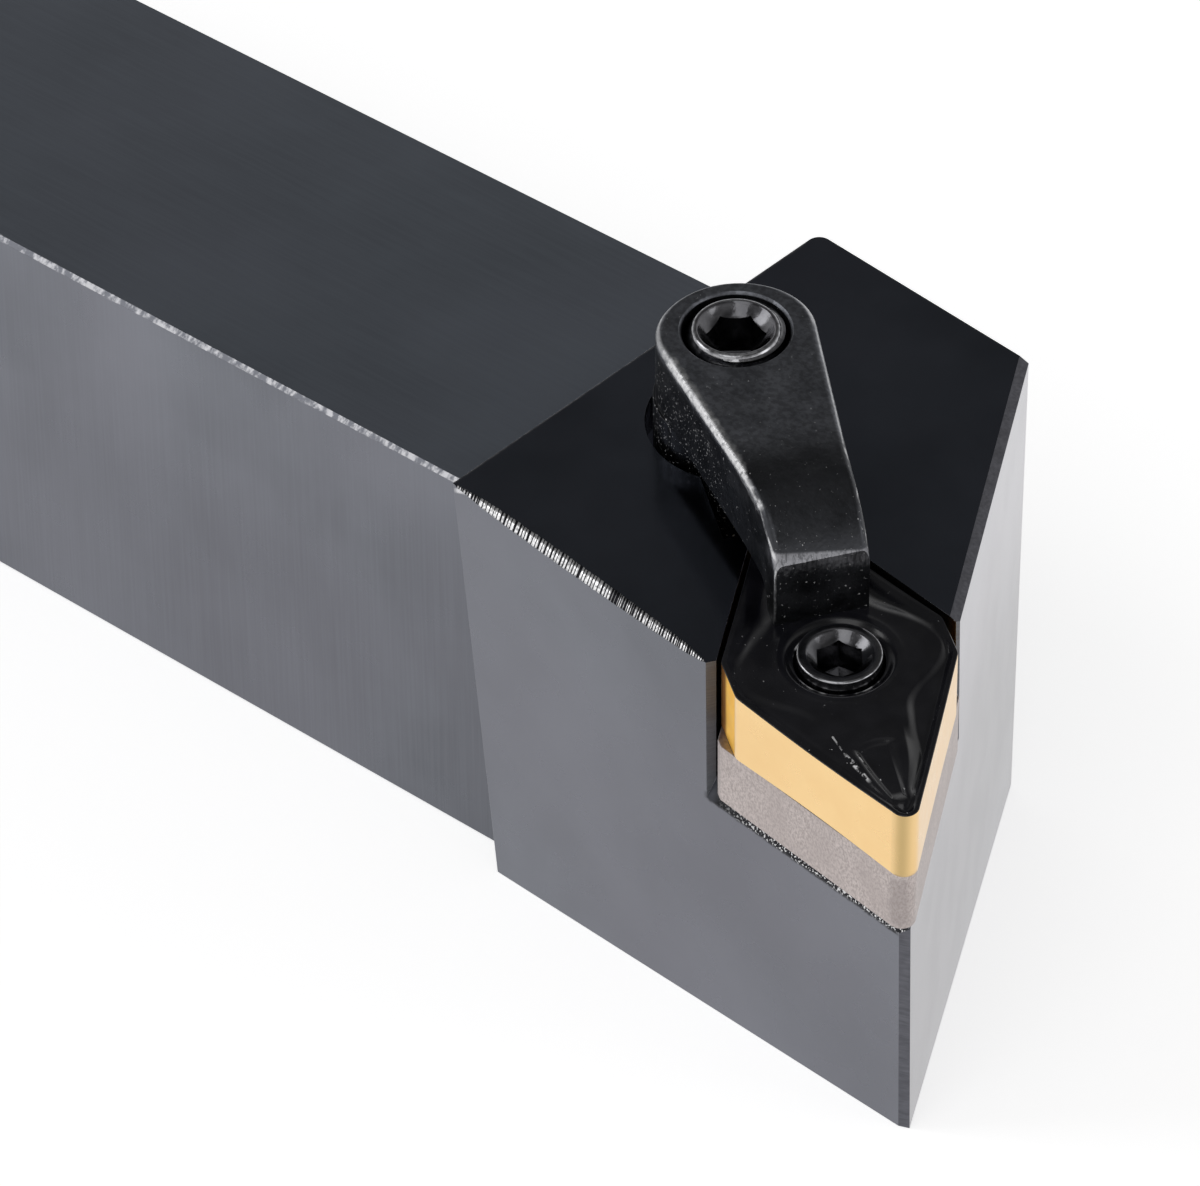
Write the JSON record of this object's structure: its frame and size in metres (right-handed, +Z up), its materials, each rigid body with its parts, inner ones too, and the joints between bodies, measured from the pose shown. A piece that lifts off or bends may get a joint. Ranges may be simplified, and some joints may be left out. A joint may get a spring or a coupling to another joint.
{
  "type": "indexable turning tool",
  "caption": "Left-hand external turning toolholder: square shank, raised angled head, rhombic insert on a shim, lock pin, top clamp and clamp screw.",
  "frame": {"origin": "centre of the shank's bottom face, from the rear end to the head's shoulder", "axes": "+X along the shank to the cutting tip, +Y to the reference side away from the tip, +Z up"},
  "size_m": [0.15, 0.032, 0.0376],
  "materials": {
    "black_oxide_steel": "satin black oxide over ground steel",
    "bare_carbide": "matte speckled grey",
    "coated_carbide": "gold flanks and a glossy black top",
    "black_screw_steel": "glossy black oxide with bright rims",
    "forged_black_steel": "forged black oxide with bright worn edges"
  },
  "bodies": {
    "root": {"holder_body": "black_oxide_steel", "shim": "bare_carbide", "insert": "coated_carbide", "lock_pin": "black_screw_steel", "top_clamp": "forged_black_steel", "clamp_screw": "black_screw_steel"}
  },
  "joints": []
}
